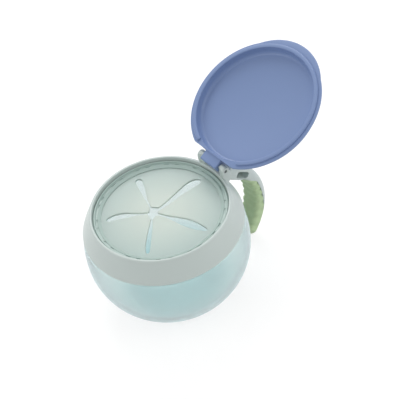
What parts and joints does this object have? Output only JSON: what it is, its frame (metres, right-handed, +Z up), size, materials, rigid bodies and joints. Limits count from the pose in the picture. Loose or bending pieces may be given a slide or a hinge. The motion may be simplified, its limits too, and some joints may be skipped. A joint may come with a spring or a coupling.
{
  "type": "toddler snack container",
  "caption": "Round snack bowl with a twist-off collar, a soft slit insert that hands reach through, an open drop handle with a ribbed grip, and a domed lid hinged above it.",
  "frame": {"origin": "centre of the flat pad under the bowl, on the table, on the bowl's axis", "axes": "+Z up along the bowl's axis, +X towards the handle and the lid's hinge, the hinge pin lies along Y"},
  "size_m": [0.1699, 0.1014, 0.1196],
  "materials": {
    "clear_shell": "satin, translucent pale teal",
    "pale_shell": "satin, pale grey-green",
    "soft_grip": "soft matt, ribbed, sage green",
    "pin_steel": "plain drawn wire",
    "pale_ring": "satin, pale grey-green",
    "soft_insert": "soft matt, pale green-white",
    "blue_lid": "satin, dusty blue"
  },
  "bodies": {
    "bowl": {"bowl": "clear_shell"},
    "collar": {"collar": "pale_shell", "handle_grip": "soft_grip", "hinge_pin": "pin_steel", "carrier_ring": "pale_ring", "insert_rim": "soft_insert"},
    "lid": {"lid": "blue_lid"},
    "flap_1": {"flap_1": "soft_insert"},
    "flap_2": {"flap_2": "soft_insert"},
    "flap_3": {"flap_3": "soft_insert"},
    "flap_4": {"flap_4": "soft_insert"},
    "flap_5": {"flap_5": "soft_insert"}
  },
  "joints": [
    {"name": "collar_twist", "type": "hinge", "parent": "bowl", "child": "collar", "pos_m": [0, 0, 0.057], "axis": [0, 0, 1], "range_deg": [0, 45]},
    {"name": "lid_hinge", "type": "hinge", "parent": "collar", "child": "lid", "pos_m": [0.0422, 0, 0.07665], "axis": [0, 1, 0], "range_deg": [-154, 0]},
    {"name": "flap_1_bend", "type": "hinge", "parent": "collar", "child": "flap_1", "pos_m": [0.0216, 0.01569, 0.065], "axis": [0.5878, -0.809, 0], "range_deg": [-15, 55], "stiffness_Nm_per_rad": 0.01},
    {"name": "flap_2_bend", "type": "hinge", "parent": "collar", "child": "flap_2", "pos_m": [-0.00825, 0.02539, 0.065], "axis": [0.9511, 0.309, 0], "range_deg": [-15, 55], "stiffness_Nm_per_rad": 0.01},
    {"name": "flap_3_bend", "type": "hinge", "parent": "collar", "child": "flap_3", "pos_m": [-0.0267, 0, 0.065], "axis": [0, 1, 0], "range_deg": [-15, 55], "stiffness_Nm_per_rad": 0.01},
    {"name": "flap_4_bend", "type": "hinge", "parent": "collar", "child": "flap_4", "pos_m": [-0.00825, -0.02539, 0.065], "axis": [-0.9511, 0.309, 0], "range_deg": [-15, 55], "stiffness_Nm_per_rad": 0.01},
    {"name": "flap_5_bend", "type": "hinge", "parent": "collar", "child": "flap_5", "pos_m": [0.0216, -0.01569, 0.065], "axis": [-0.5878, -0.809, 0], "range_deg": [-15, 55], "stiffness_Nm_per_rad": 0.01}
  ]
}
